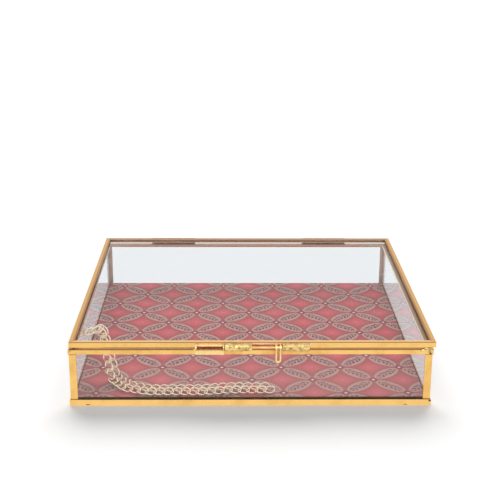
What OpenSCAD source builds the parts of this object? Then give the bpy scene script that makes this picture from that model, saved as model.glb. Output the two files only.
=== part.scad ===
// A low glass casket box: brass angle rails and posts, glass walls and lid,
// a lined floor, two rear hinges, a slide bolt at the front and a stay chain.
// Millimetres. X runs to the right, Y away from the front, Z up.
// The origin is the centre of the underside.

/* [Box] */
// Width over the rails
box_w = 250; // [200:1:320]
// Depth over the rails
box_d = 239; // [190:1:320]
// Height of the top of the rim above the underside
rim_top = 41.4; // [36:0.1:70]

/* [Sheet and glass] */
// Thickness of the brass sheet in rails, posts and hinge leaves
sheet = 0.6; // [0.4:0.1:0.8]
// Thickness of every glass pane
glass = 2; // [1.6:0.1:3]

/* [Rails and posts] */
// Height of the face of the bottom rails
bottom_rail_h = 4.2; // [3:0.1:6]
// Height of the face of the rim rails
rim_rail_h = 3.1; // [2.5:0.1:6]
// Width of the flange of the bottom and rim rails
rail_flange = 5; // [4.6:0.1:5.2]
// Width of each leg of the corner posts
post_leg = 5; // [3:0.1:8]

/* [Lid] */
// Height of the channel rails round the lid
lid_rail_h = 3.6; // [3.3:0.1:6]
// Width of the channel rails round the lid
lid_rail_w = 4; // [3:0.1:4.4]
// Height of the gap between the rim and the lid
lid_gap = 1.9; // [1.5:0.1:2.5]
// Extra width of the lid over the box
lid_extra_w = 0.6; // [0:0.1:2]
// Sideways shift of the lid to the right
lid_shift = 1.1; // [0:0.1:1.5]
// Diameter of the two solder bumps that the lid rests on
rest_d = 2.6; // [1.6:0.1:4]
// Distance of each solder bump from the side of the box
rest_inset = 2.4; // [2.4:0.1:8]

/* [Floor] */
// Thickness of the board on the floor pane
board_t = 2.4; // [1:0.1:4]
// Thickness of the patterned paper on the board
paper_t = 0.24; // [0.2:0.02:0.6]
// Gap round the board and the paper
board_gap = 0.3; // [0.1:0.1:1]

/* [Hinges] */
// Length of each hinge
hinge_len = 37.6; // [24:0.1:50]
// Place of the left hinge along the box
hinge_left_x = -64.7; // [-70:0.1:-40]
// Place of the right hinge along the box
hinge_right_x = 68.6; // [40:0.1:70]
// Outer diameter of the hinge knuckles
knuckle_d = 3; // [2.8:0.1:3.2]
// Diameter of the hinge pins
pin_d = 1.4; // [1:0.1:1.6]
// Length of the middle knuckle, on the lid
lid_knuckle_len = 13.4; // [8:0.1:20]
// Gap between neighbouring knuckles
knuckle_gap = 0.3; // [0.2:0.05:0.5]

/* [Bolt] */
// Diameter of the bolt rod
rod_d = 1.8; // [1.4:0.1:2]
// Outer diameter of the keeper and guide tubes
tube_d = 4.4; // [4.2:0.1:5]
// Bore of the keeper and guide tubes
tube_bore = 2.4; // [2.4:0.1:3]
// Height of the bolt above the rim
bolt_rise = 2.8; // [2.6:0.1:3.2]
// Place of the middle of the keeper along the box
keeper_x = -28.4; // [-40:0.1:-28.4]
// Length of the keeper
keeper_len = 19.6; // [12:0.1:19.8]
// Place of the middle of the left guide along the box
guide_left_x = -8.7; // [-8.7:0.1:0]
// Place of the middle of the right guide along the box
guide_right_x = 30.4; // [30.4:0.1:40]
// Length of each guide tube
guide_len = 18.8; // [12:0.1:19]

/* [Pull loop] */
// Width over the two legs of the pull loop
loop_w = 4.3; // [4:0.1:4.8]
// Diameter of the wire of the pull loop
loop_wire = 1.5; // [1:0.1:1.6]
// Reach of the pull loop below the middle of the rod
loop_reach = 11.3; // [8:0.1:16]
// Place of the middle of the pull loop along the box
loop_x = 18.5; // [18:0.1:18.6]

/* [Stay chain] */
// Diameter of the wire of the links and eyes
link_wire = 0.8; // [0.6:0.05:0.85]
// Width over a link
link_w = 5.5; // [5:0.1:5.6]
// Distance from link to link along the taut chain
link_pitch = 5.9; // [5.6:0.1:6.2]
// Play between neighbouring links
link_play = 0.2; // [0.15:0.05:0.3]
// Distance of the chain's end on the lid behind the front of the box
lid_eye_back = 30; // [29:0.5:31]
// Distance of the chain's end on the rim behind the front of the box
rim_eye_back = 36; // [35.5:0.5:37]

/* [Hidden] */

// Colours
BRASS = [0.90, 0.70, 0.38];
BRASS_DARK = [0.72, 0.53, 0.28];
SOLDER = [0.94, 0.82, 0.55];
CHAIN = [0.96, 0.87, 0.66];
CLEAR = [0.80, 0.88, 0.88, 0.35];
BOARD = [0.40, 0.24, 0.17];
PAPER = [0.78, 0.42, 0.44];

ROUND = 48;      // sides of a round hole or rod
WIRE_ROUND = 16; // sides of a thin wire

// Where the layers of the walls lie, from the outside in
half_w = box_w / 2;
half_d = box_d / 2;
post_face = sheet;               // the posts stand inside the rails
glass_face = 2 * sheet;          // the glass stands inside the posts
inner_face = glass_face + glass; // the room inside starts here

// Heights of the stack on the floor
floor_pane_z = sheet;
board_z = floor_pane_z + glass;
paper_z = board_z + board_t;
floor_top = paper_z + paper_t;

// Heights at the rim and the lid
rim_flange_z = rim_top - sheet;
lid_z = rim_top + lid_gap;
lid_top = lid_z + lid_rail_h;
lid_half_w = (box_w + lid_extra_w) / 2;
lid_left = lid_shift - lid_half_w;
lid_slot = (lid_rail_h - 2 * sheet - glass) / 2; // play of the glass in the channel
lid_pane_z = lid_z + sheet + lid_slot;
rest_play = 0.1;                                 // gap under the lid at the bumps

// Hinge axis, behind the box and half way up the gap
hinge_y = half_d + knuckle_d / 2;
hinge_z = rim_top + lid_gap / 2;
pin_play = 0.05;      // running fit of pin and knuckle
pin_head_d = pin_d + 0.7;
pin_head_t = 0.3;
leaf_relief = 0.35;   // a leaf stays this far off the other leaf's knuckle
JOIN = 0.1;           // solids of one piece run this far into each other

// Bolt axis, in front of the lid
tube_off = 0.2;       // from the back of a tube to the front of the rails
bolt_y = -half_d - tube_off - tube_d / 2;
bolt_z = rim_top + bolt_rise;
strap_t = 0.8;        // plate that is soldered to the rail behind a tube
tip_setback = 1.1;    // the drawn bolt's tip lies this far inside the left guide
tail_setback = 0.6;   // and its tail this far inside the right guide
rod_start = guide_left_x - guide_len / 2 + tip_setback;
rod_end = guide_right_x + guide_len / 2 - tail_setback;
bead_play = 0.3;      // play of the loop's legs beside the bead on the rod
bead_d = tube_bore + 0.4;
ring_w = 1.3;         // length of the loop's two rings along the rod
ring_wall = 0.6;      // wall of the loop's two rings

// Stay chain
link_inner = link_pitch + link_play;
link_bend_r = (link_w - link_wire) / 2;                // middle of the wire in a link's end
link_half = (link_inner + link_wire) / 2;              // from a link's middle to its end wire
link_hook = link_wire + link_play;                     // from end wire to end wire of two links
floor_play = 0.45;                                     // under a link that leans a quarter turn
chain_z = floor_top + link_bend_r * sin(45) + link_wire / 2 + floor_play;
eye_r = 1.5;                                           // middle of the wire of an eye
eye_plate = 0.8;                                       // thickness of the plate that holds an eye
eye_lap = 1.2;                                         // its lap under the flange of a rail
lid_eye_turn = [-65, -28, 25];
rim_eye_turn = [45, 0, 28];
chain_front = -half_d + inner_face + 3.3;              // the outer strand, along the front glass

// End of a stretch of links that leaves a point at a bearing and a slope
function along(start, links, bearing, slope) =
    start + links * link_pitch * [cos(slope) * cos(bearing), cos(slope) * sin(bearing), sin(slope)];
// Number of links that reach down to the floor, and the slope that they then take
STEEPEST = 0.985; // most that a link drops, as a share of its length
function drop_links(start) = ceil((start.z - chain_z) / (STEEPEST * link_pitch));
function drop_slope(start) = -asin((start.z - chain_z) / (drop_links(start) * link_pitch));
// Bearing of a level stretch that ends on a line along the box
function bearing_to(start, links, line_y) = asin((line_y - start.y) / (links * link_pitch));

// The lid's half of the chain, from its hold in the eye on the lid to the middle of the chain
lid_p0 = [-half_w + rail_flange + 3.75, -half_d + lid_eye_back, lid_z - 2.1];
lid_p1 = along(lid_p0, 2, 28, 1);
lid_p2 = along(lid_p1, drop_links(lid_p1), -50, drop_slope(lid_p1));
lid_p3 = along(lid_p2, 3, -55, 0);
lid_p4 = along(lid_p3, 3, bearing_to(lid_p3, 3, chain_front), 0);
lid_p5 = along(lid_p4, 7, 0, 0);
lid_p6 = along(lid_p5, 3, bearing_to(lid_p5, 3, chain_front + 2.5), 0);
lid_p7 = along(lid_p6, 5, 0, 0);

// The rim's half of the chain, behind the other
rim_p0 = [-half_w + rail_flange + 4.25, -half_d + rim_eye_back, rim_flange_z - 1.7];
rim_p1 = along(rim_p0, 2, 28, 8);
rim_p2 = along(rim_p1, drop_links(rim_p1), -42, drop_slope(rim_p1));
rim_p3 = along(rim_p2, 3, -57, 0);
rim_p4 = along(rim_p3, 3, bearing_to(rim_p3, 3, chain_front + 4.8), 0);
rim_p5 = along(rim_p4, 6, 0, 0);
rim_p6 = along(rim_p5, 3, bearing_to(rim_p5, 3, chain_front + 8), 0);
rim_p7 = along(rim_p6, 5, 0, 0);

// ---- Shapes that repeat ----

// A straight length along X that is mitred at both ends, from an outline in Y and Z.
// Y runs inwards from the outer face, so the inner edge is the shorter one.
module mitred(len, width) {
    intersection() {
        rotate([90, 0, 90]) translate([0, 0, -len / 2]) linear_extrude(len) children();
        translate([0, 0, -1]) linear_extrude(lid_top)
            polygon([[-len / 2, 0], [len / 2, 0], [len / 2 - width, width], [-len / 2 + width, width]]);
    }
}

// Puts a front rail on one of the four sides: 0 front, 1 right, 2 rear, 3 left
module on_side(side) {
    rotate([0, 0, 90 * side]) translate([0, side % 2 == 0 ? -half_d : -half_w, 0]) children();
}
function side_len(side) = side % 2 == 0 ? box_w : box_d;

// Angle rail with its flange at the bottom, under the floor pane
module bottom_rail(side) {
    color(BRASS) on_side(side) mitred(side_len(side), rail_flange) {
        square([sheet, bottom_rail_h]);
        square([rail_flange, sheet]);
    }
}

// Angle rail with its flange at the top, over the edges of the glass
module rim_rail(side) {
    color(BRASS) on_side(side) mitred(side_len(side), rail_flange) {
        translate([0, rim_top - rim_rail_h]) square([sheet, rim_rail_h]);
        translate([0, rim_flange_z]) square([rail_flange, sheet]);
    }
}

// Channel rail that holds one edge of the lid pane
module lid_rail(side) {
    across = side % 2 == 0;
    len = across ? 2 * lid_half_w : box_d;
    face = across ? half_d : lid_half_w;
    color(BRASS) translate([lid_shift, 0, lid_z]) rotate([0, 0, 90 * side]) translate([0, -face, 0])
        mitred(len, lid_rail_w) {
            square([sheet, lid_rail_h]);
            square([lid_rail_w, sheet]);
            translate([0, lid_rail_h - sheet]) square([lid_rail_w, sheet]);
        }
}

// Angle post in a corner, standing on the bottom rails' flanges
module post(right, rear) {
    color(BRASS) mirror([right, 0, 0]) mirror([0, rear, 0])
        translate([-half_w + post_face, -half_d + post_face, sheet])
            linear_extrude(rim_flange_z - sheet) {
                square([post_leg, sheet]);
                square([sheet, post_leg]);
            }
}

// Wall pane: the front and rear panes run past the ends of the side panes
module wall_pane(side) {
    across = side % 2 == 0;
    run = across ? box_w - 2 * glass_face : box_d - 2 * inner_face;
    color(CLEAR) on_side(side)
        translate([-run / 2, glass_face, board_z]) cube([run, glass, rim_flange_z - board_z]);
}

// One butt hinge leaf for the base: a plate on the rim rail with the two outer knuckles
module hinge_leaf_base(x) {
    plate_top = hinge_z - knuckle_d / 2 - leaf_relief;
    outer = (hinge_len - lid_knuckle_len) / 2 - knuckle_gap;
    color(BRASS_DARK) translate([x, 0, 0]) difference() {
        union() {
            translate([-hinge_len / 2, half_d, rim_top - rim_rail_h])
                cube([hinge_len, sheet, plate_top - rim_top + rim_rail_h]);
            for (end = [-hinge_len / 2, hinge_len / 2 - outer]) {
                translate([end, half_d, plate_top - JOIN]) cube([outer, sheet, hinge_z - plate_top + JOIN]);
                translate([end, hinge_y, hinge_z]) rotate([0, 90, 0])
                    cylinder(d = knuckle_d, h = outer, $fn = ROUND);
            }
        }
        hinge_bore(hinge_len);
    }
}

// One butt hinge leaf for the lid: a plate on the lid rail with the middle knuckle
module hinge_leaf_lid(x) {
    plate_foot = hinge_z + knuckle_d / 2 + leaf_relief;
    color(BRASS_DARK) translate([x, 0, 0]) difference() {
        union() {
            translate([-hinge_len / 2, half_d, plate_foot]) cube([hinge_len, sheet, lid_top - plate_foot]);
            translate([-lid_knuckle_len / 2, half_d, hinge_z])
                cube([lid_knuckle_len, sheet, plate_foot - hinge_z + JOIN]);
            translate([-lid_knuckle_len / 2, hinge_y, hinge_z]) rotate([0, 90, 0])
                cylinder(d = knuckle_d, h = lid_knuckle_len, $fn = ROUND);
        }
        hinge_bore(hinge_len);
    }
}

// The bore for the pin, through all the knuckles
module hinge_bore(len) {
    translate([-len / 2 - 1, hinge_y, hinge_z]) rotate([0, 90, 0])
        cylinder(d = pin_d + 2 * pin_play, h = len + 2, $fn = ROUND);
}

// Hinge pin with a small head at each end
module hinge_pin(x) {
    color(SOLDER) translate([x, hinge_y, hinge_z]) rotate([0, 90, 0]) {
        translate([0, 0, -hinge_len / 2 - pin_head_t])
            cylinder(d = pin_d, h = hinge_len + 2 * pin_head_t, $fn = ROUND);
        for (head_z = [-hinge_len / 2 - pin_head_t, hinge_len / 2]) {
            translate([0, 0, head_z]) cylinder(d = pin_head_d, h = pin_head_t, $fn = ROUND);
        }
    }
}

// Solder bump on the rim, which the lid rests on
module lid_rest(right) {
    taper = 0.7;
    color(SOLDER) mirror([right, 0, 0])
        translate([-half_w + rest_inset, -half_d + rest_inset, rim_top])
            cylinder(d1 = rest_d, d2 = rest_d * taper, h = lid_gap - rest_play, $fn = 32);
}

// Tube along X on a strap that is soldered to the front of a rail
module strapped_tube(len, strap_foot, strap_head) {
    difference() {
        union() {
            translate([-len / 2, bolt_y, bolt_z]) rotate([0, 90, 0])
                cylinder(d = tube_d, h = len, $fn = ROUND);
            translate([-len / 2, -half_d - strap_t, strap_foot])
                cube([len, strap_t, strap_head - strap_foot]);
        }
        translate([-len / 2 - 1, bolt_y, bolt_z]) rotate([0, 90, 0])
            cylinder(d = tube_bore, h = len + 2, $fn = ROUND);
    }
}

// Keeper on the rim: an open-seamed tube that the bolt slides into
module bolt_keeper() {
    seam = 1.2;
    seam_margin = 1.1;
    under_lid = 0.3; // the strap ends this far below the lid
    color(BRASS) translate([keeper_x, 0, 0]) difference() {
        strapped_tube(keeper_len, rim_top - rim_rail_h, lid_z - under_lid);
        translate([0, bolt_y, bolt_z]) rotate([30, 0, 0])
            translate([-keeper_len / 2 + seam_margin, -tube_d, -seam / 2])
                cube([keeper_len - 2 * seam_margin, tube_d, seam]);
    }
}

// Guide tube on the lid, with its strap a little lower than the lid's face
module bolt_guide(x) {
    strap_step = 0.2;
    color(BRASS) translate([x, 0, 0]) strapped_tube(guide_len, lid_z, lid_top - strap_step);
}

// Bolt rod with a rounded tip and the bead that the pull loop drives
module bolt_rod() {
    bead_len = loop_w - 2 * loop_wire - 2 * bead_play;
    color(BRASS) translate([0, bolt_y, bolt_z]) {
        translate([rod_start, 0, 0]) sphere(d = rod_d, $fn = ROUND);
        translate([rod_start, 0, 0]) rotate([0, 90, 0])
            cylinder(d = rod_d, h = rod_end - rod_start, $fn = ROUND);
        translate([loop_x - bead_len / 2, 0, 0]) rotate([0, 90, 0])
            cylinder(d = bead_d, h = bead_len, $fn = ROUND);
    }
}

// Pull loop: a hairpin of wire whose two ends are bent into rings round the rod
module pull_loop() {
    bend_r = (loop_w - loop_wire) / 2;
    leg_end = loop_reach - loop_wire / 2 - bend_r;
    ring_d = tube_bore + 2 * ring_wall;
    color(BRASS) translate([loop_x, bolt_y, bolt_z]) difference() {
        union() {
            for (leg = [-1, 1]) {
                translate([leg * bend_r, 0, -leg_end]) cylinder(d = loop_wire, h = leg_end, $fn = WIRE_ROUND);
                translate([leg * bend_r - ring_w / 2, 0, 0]) rotate([0, 90, 0])
                    cylinder(d = ring_d, h = ring_w, $fn = ROUND);
            }
            translate([0, 0, -leg_end]) rotate([90, 0, 0]) rotate([0, 0, 180])
                rotate_extrude(angle = 180, $fn = ROUND)
                    translate([bend_r, 0]) circle(d = loop_wire, $fn = WIRE_ROUND);
        }
        translate([-loop_w, 0, 0]) rotate([0, 90, 0]) cylinder(d = tube_bore, h = 2 * loop_w, $fn = ROUND);
    }
}

// Wire ring for one end of the chain, with its stem and the plate soldered under a rail's flange.
// hold is the point of the ring that the first link pulls on.
module eye(hold, turn, flange_x, flange_z) {
    far = hold - 2 * eye_r * [cos(turn.y) * cos(turn.z), cos(turn.y) * sin(turn.z), -sin(turn.y)];
    plate_x = flange_x - eye_lap;
    color(SOLDER) {
        translate(hold) rotate(turn) translate([-eye_r, 0, 0]) rotate([90, 0, 0])
            rotate_extrude($fn = ROUND) translate([eye_r, 0]) circle(d = link_wire, $fn = WIRE_ROUND);
        translate(far) cylinder(d = link_wire, h = flange_z - eye_plate / 2 - far.z, $fn = WIRE_ROUND);
        translate([plate_x, far.y - eye_plate, flange_z - eye_plate])
            cube([far.x + link_wire / 2 - plate_x, 2 * eye_plate, eye_plate]);
    }
}

// One link of the chain, along X
module link() {
    straight = link_half - link_bend_r;
    for (turn = [0, 180]) {
        rotate([0, 0, turn]) translate([straight, 0, 0]) rotate([0, 0, -90])
            rotate_extrude(angle = 180, $fn = 24)
                translate([link_bend_r, 0]) circle(d = link_wire, $fn = WIRE_ROUND);
    }
    for (side = [-1, 1]) {
        translate([-straight, side * link_bend_r, 0]) rotate([0, 90, 0])
            cylinder(d = link_wire, h = 2 * straight, $fn = WIRE_ROUND);
    }
}

// A straight stretch of links between two points. Neighbouring links are a quarter turn apart.
// first is the number of links before the stretch, roll and twist turn its links about its line.
module stretch(from, to, first, roll = 0, twist = 0) {
    run = to - from;
    level = norm([run.x, run.y]);
    links = round(norm(run) / link_pitch);
    color(CHAIN) translate(from) rotate([0, -atan2(run.z, level), atan2(run.y, run.x)])
        for (i = [0 : links - 1]) {
            quarter = (first + i) % 2 == 0 ? 45 : -45;
            translate([link_half - link_hook + i * link_pitch, 0, 0])
                rotate([quarter + roll + twist * i, 0, 0]) link();
        }
}

// ---- The pieces ----

// The base: rails, posts, glass and floor
module bottom_rail_front() { bottom_rail(0); }
module bottom_rail_right() { bottom_rail(1); }
module bottom_rail_rear() { bottom_rail(2); }
module bottom_rail_left() { bottom_rail(3); }

module rim_rail_front() { rim_rail(0); }
module rim_rail_right() { rim_rail(1); }
module rim_rail_rear() { rim_rail(2); }
module rim_rail_left() { rim_rail(3); }

module post_front_left() { post(0, 0); }
module post_front_right() { post(1, 0); }
module post_rear_left() { post(0, 1); }
module post_rear_right() { post(1, 1); }

module front_pane() { wall_pane(0); }
module right_pane() { wall_pane(1); }
module rear_pane() { wall_pane(2); }
module left_pane() { wall_pane(3); }

module floor_pane() {
    pane_w = box_w - 2 * glass_face;
    pane_d = box_d - 2 * glass_face;
    color(CLEAR) translate([-pane_w / 2, -pane_d / 2, floor_pane_z]) cube([pane_w, pane_d, glass]);
}

// A sheet that fills the floor between the glass walls
module floor_sheet(z, t) {
    sheet_w = box_w - 2 * inner_face - 2 * board_gap;
    sheet_d = box_d - 2 * inner_face - 2 * board_gap;
    translate([-sheet_w / 2, -sheet_d / 2, z]) cube([sheet_w, sheet_d, t]);
}
module lining_board() { color(BOARD) floor_sheet(board_z, board_t); }
module lining_paper() { color(PAPER) floor_sheet(paper_z, paper_t); }

module lid_rest_left() { lid_rest(0); }
module lid_rest_right() { lid_rest(1); }

// The lid: channel rails round one pane
module lid_rail_front() { lid_rail(0); }
module lid_rail_right() { lid_rail(1); }
module lid_rail_rear() { lid_rail(2); }
module lid_rail_left() { lid_rail(3); }

module lid_pane() {
    edge_play = 0.2; // from the pane's edge to the bottom of the channel
    edge = sheet + edge_play;
    pane_w = 2 * lid_half_w - 2 * edge;
    pane_d = box_d - 2 * edge;
    color(CLEAR) translate([lid_shift - pane_w / 2, -pane_d / 2, lid_pane_z]) cube([pane_w, pane_d, glass]);
}

// The hinges
module hinge_leaf_base_left() { hinge_leaf_base(hinge_left_x); }
module hinge_leaf_base_right() { hinge_leaf_base(hinge_right_x); }
module hinge_leaf_lid_left() { hinge_leaf_lid(hinge_left_x); }
module hinge_leaf_lid_right() { hinge_leaf_lid(hinge_right_x); }
module hinge_pin_left() { hinge_pin(hinge_left_x); }
module hinge_pin_right() { hinge_pin(hinge_right_x); }

// The bolt's guides
module bolt_guide_left() { bolt_guide(guide_left_x); }
module bolt_guide_right() { bolt_guide(guide_right_x); }

// The eyes of the stay chain
module chain_eye_rim() { eye(rim_p0, rim_eye_turn, -half_w + rail_flange, rim_flange_z); }
module chain_eye_lid() { eye(lid_p0, lid_eye_turn, lid_left + lid_rail_w, lid_z); }

// The stay chain, lid half then rim half, from each eye to the middle of the chain
module lid_chain_arch() { stretch(lid_p0, lid_p1, 0, 29, -13); }
module lid_chain_drop() { stretch(lid_p1, lid_p2, 2, -63, -11); }
module lid_chain_turn_1() { stretch(lid_p2, lid_p3, 2 + drop_links(lid_p1), 11); }
module lid_chain_turn_2() { stretch(lid_p3, lid_p4, 5 + drop_links(lid_p1), 16); }
module lid_chain_run_1() { stretch(lid_p4, lid_p5, 8 + drop_links(lid_p1)); }
module lid_chain_run_2() { stretch(lid_p5, lid_p6, 15 + drop_links(lid_p1)); }
module lid_chain_run_3() { stretch(lid_p6, lid_p7, 18 + drop_links(lid_p1)); }

module rim_chain_arch() { stretch(rim_p0, rim_p1, 0, 23); }
module rim_chain_drop() { stretch(rim_p1, rim_p2, 2, -53, -11); }
module rim_chain_turn_1() { stretch(rim_p2, rim_p3, 2 + drop_links(rim_p1), 15); }
module rim_chain_turn_2() { stretch(rim_p3, rim_p4, 5 + drop_links(rim_p1), 3); }
module rim_chain_run_1() { stretch(rim_p4, rim_p5, 8 + drop_links(rim_p1)); }
module rim_chain_run_2() { stretch(rim_p5, rim_p6, 14 + drop_links(rim_p1)); }
module rim_chain_run_3() { stretch(rim_p6, rim_p7, 17 + drop_links(rim_p1)); }

bottom_rail_front();
bottom_rail_rear();
bottom_rail_left();
bottom_rail_right();
rim_rail_front();
rim_rail_rear();
rim_rail_left();
rim_rail_right();
post_front_left();
post_front_right();
post_rear_left();
post_rear_right();
front_pane();
rear_pane();
left_pane();
right_pane();
floor_pane();
lining_board();
lining_paper();
lid_rest_left();
lid_rest_right();
hinge_leaf_base_left();
hinge_leaf_base_right();
hinge_pin_left();
hinge_pin_right();
bolt_keeper();
chain_eye_rim();
lid_rail_front();
lid_rail_rear();
lid_rail_left();
lid_rail_right();
lid_pane();
hinge_leaf_lid_left();
hinge_leaf_lid_right();
bolt_guide_left();
bolt_guide_right();
chain_eye_lid();
bolt_rod();
pull_loop();
lid_chain_arch();
lid_chain_drop();
lid_chain_turn_1();
lid_chain_turn_2();
lid_chain_run_1();
lid_chain_run_2();
lid_chain_run_3();
rim_chain_arch();
rim_chain_drop();
rim_chain_turn_1();
rim_chain_turn_2();
rim_chain_run_1();
rim_chain_run_2();
rim_chain_run_3();
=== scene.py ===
# %% [markdown]
# A glass casket box, dressed around its CAD frame. The real one is made of
# thin brass strip folded round window glass, held with solder, with a sheet
# of patterned paper on the floor. The frame already has every rail, pane,
# hinge and chain link in place, so this script adds what a drawing leaves
# out: the finish of the metal, the print on the paper, the solder, the light.

# %% Load the frame
import math

import bmesh
import bpy
from mathutils import Matrix, Vector, noise


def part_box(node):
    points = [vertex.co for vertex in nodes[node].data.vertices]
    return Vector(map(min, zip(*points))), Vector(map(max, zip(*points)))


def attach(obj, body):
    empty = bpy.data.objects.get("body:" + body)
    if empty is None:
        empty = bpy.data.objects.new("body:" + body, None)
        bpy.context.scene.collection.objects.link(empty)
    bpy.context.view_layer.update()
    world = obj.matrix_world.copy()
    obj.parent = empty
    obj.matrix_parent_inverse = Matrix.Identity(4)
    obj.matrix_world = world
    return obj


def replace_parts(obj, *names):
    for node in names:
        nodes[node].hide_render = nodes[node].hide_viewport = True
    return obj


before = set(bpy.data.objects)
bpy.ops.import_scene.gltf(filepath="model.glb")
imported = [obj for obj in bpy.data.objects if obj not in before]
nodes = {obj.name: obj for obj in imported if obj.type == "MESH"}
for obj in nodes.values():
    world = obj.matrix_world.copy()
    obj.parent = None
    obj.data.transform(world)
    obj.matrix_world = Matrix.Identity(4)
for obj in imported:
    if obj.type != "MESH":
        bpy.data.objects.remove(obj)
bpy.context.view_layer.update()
scene = bpy.context.scene
MM = 0.001

# %% [markdown]
# The camera stands in front of the box and looks down at it by about 18
# degrees, turned and rolled by a hair. A lens is known by its focal length in
# pixels here, because that is what a picture's edges give. Blender wants the
# same thing in millimetres of film, so it is scaled by the width of the film.

# %% Set up the camera
PICTURE_WIDTH = 500
FILM_WIDTH = 36.0
FOCAL_PIXELS = 1085.7
CAMERA_SPOT = Vector((-14.0, -802.8, 333.7)) * MM
NEAREST_SEEN = 10 * MM
yaw, pitch, roll = math.radians(1.067), math.radians(17.886), math.radians(0.373)
level_right = Vector((math.cos(yaw), -math.sin(yaw), 0))
ahead = Vector((math.sin(yaw) * math.cos(pitch),
                math.cos(yaw) * math.cos(pitch), -math.sin(pitch)))
level_up = level_right.cross(ahead)
right = level_right * math.cos(roll) + level_up * math.sin(roll)
upward = level_up * math.cos(roll) - level_right * math.sin(roll)

camera_data = bpy.data.cameras.new("front_camera")
camera_data.sensor_width = FILM_WIDTH
camera_data.lens = FOCAL_PIXELS / PICTURE_WIDTH * FILM_WIDTH
camera_data.clip_start = NEAREST_SEEN
camera = bpy.data.objects.new("front_camera", camera_data)
scene.collection.objects.link(camera)
camera_turn = Matrix((right, upward, -ahead)).transposed().to_4x4()
camera.matrix_world = Matrix.Translation(CAMERA_SPOT) @ camera_turn
scene.camera = camera
scene.view_settings.view_transform = "Standard"
print("camera: lens", round(camera_data.lens, 2), "mm")

# %% [markdown]
# Materials are graphs of nodes, and a graph written out by hand gets long.
# A few small helpers keep it short. They add a node and fill its sockets, do
# a step of arithmetic, make a soft step or soft noise, and turn a colour as a
# picture shows it into the linear numbers that Blender's shaders work in.

# %% Helpers for nodes
def linear(red, green, blue):
    """A colour as read from a picture, 0 to 255, as linear RGBA."""
    def one(value):
        value /= 255
        return value / 12.92 if value <= 0.04045 else ((value + 0.055) / 1.055) ** 2.4
    return (one(red), one(green), one(blue), 1.0)


def fill(tree, socket, value):
    """Links another node's output to a socket, or sets it to a plain value."""
    if isinstance(value, bpy.types.NodeSocket):
        tree.links.new(value, socket)
    else:
        socket.default_value = value


def add(tree, kind, sockets=None, **settings):
    """Adds a node, sets its options, and fills or links its inputs."""
    made = tree.nodes.new("ShaderNode" + kind)
    for name, value in settings.items():
        setattr(made, name, value)
    for name, value in (sockets or {}).items():
        fill(tree, made.inputs[name], value)
    return made


def calc(tree, operation, *values):
    """One step of arithmetic; gives back its result."""
    made = tree.nodes.new("ShaderNodeMath")
    made.operation = operation
    for socket, value in zip(made.inputs, values):
        fill(tree, socket, value)
    return made.outputs[0]


def ramp(tree, value, low, high, start=0.0, end=1.0):
    """A smooth step from start to end as value goes from low to high."""
    made = add(tree, "MapRange", {"Value": value, "From Min": low, "From Max": high,
                                  "To Min": start, "To Max": end},
               interpolation_type="SMOOTHSTEP")
    return made.outputs["Result"]


def fade(tree, value, low, high, start=1.0):
    """A smooth step down to 0 as value goes from low to high."""
    return ramp(tree, value, low, high, start, 0.0)


print("number helpers ready")

# %% [markdown]
# Colours are blended by a share between 0 and 1. Every pattern here is read
# from the place of the point in the frame, so it has its real size and runs
# on from one piece to the next.

# %% Helpers for colours and places
def blend_colour(tree, share, first, second):
    """The first colour where share is 0, the second where it is 1."""
    made = add(tree, "Mix", data_type="RGBA")
    share_in, first_in, second_in, colour_out = 0, 6, 7, 2
    for index, value in ((share_in, share), (first_in, first), (second_in, second)):
        fill(tree, made.inputs[index], value)
    return made.outputs[colour_out]


def new_material(name):
    """An empty material: gives its tree, its Principled node and itself."""
    made = bpy.data.materials.new(name)
    made.use_nodes = True
    return made.node_tree, made.node_tree.nodes["Principled BSDF"], made


def place(tree):
    """The point being shaded, in the frame's metres, whatever the lid does."""
    return add(tree, "TexCoord").outputs["Object"]


def coordinates(tree):
    """The same point as its separate X, Y and Z."""
    return add(tree, "SeparateXYZ", {"Vector": place(tree)}).outputs


def cloud(tree, where, scale, detail, rough=0.5):
    """Soft noise about a half; scale is how many clouds a metre has."""
    return add(tree, "TexNoise", {"Vector": where, "Scale": scale, "Detail": detail,
                                  "Roughness": rough}).outputs["Fac"]


def dent(tree, shader, height, depth, strength):
    """Lets a height tilt the surface, as small dents do."""
    bump = add(tree, "Bump", {"Height": height, "Distance": depth,
                              "Strength": strength})
    fill(tree, shader.inputs["Normal"], bump.outputs["Normal"])


print("colour and place helpers ready")

# %% [markdown]
# The stage is a pale floor under a white sky. In a real studio the backdrop
# is lit until it is white. Here the sky is plain white to the camera, through
# glass and in metal, but lights the box at a lower level. The floor glows a
# little in the same rays and is white in mirrors, and it still darkens where
# the box keeps light from it.

# %% Build the stage
WHITE = (1, 1, 1, 1)
SKY_LIGHT = 0.28
FLOOR_HALF = 12.0
FLOOR_COLOUR = (0.88, 0.88, 0.88, 1)
FLOOR_GLOW = 0.14


def seen_directly(tree):
    """1 for rays from the camera, a mirror or a pane, 0 for lighting."""
    path = add(tree, "LightPath").outputs
    nearest = calc(tree, "MAXIMUM", path["Is Camera Ray"], path["Is Glossy Ray"])
    return calc(tree, "MAXIMUM", nearest, path["Is Transmission Ray"])


world = bpy.data.worlds.new("white_sky")
scene.world = world
world.use_nodes = True
sky = world.node_tree
sky_strength = calc(sky, "MULTIPLY_ADD", seen_directly(sky), 1 - SKY_LIGHT, SKY_LIGHT)
fill(sky, sky.nodes["Background"].inputs["Color"], WHITE)
fill(sky, sky.nodes["Background"].inputs["Strength"], sky_strength)

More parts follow.
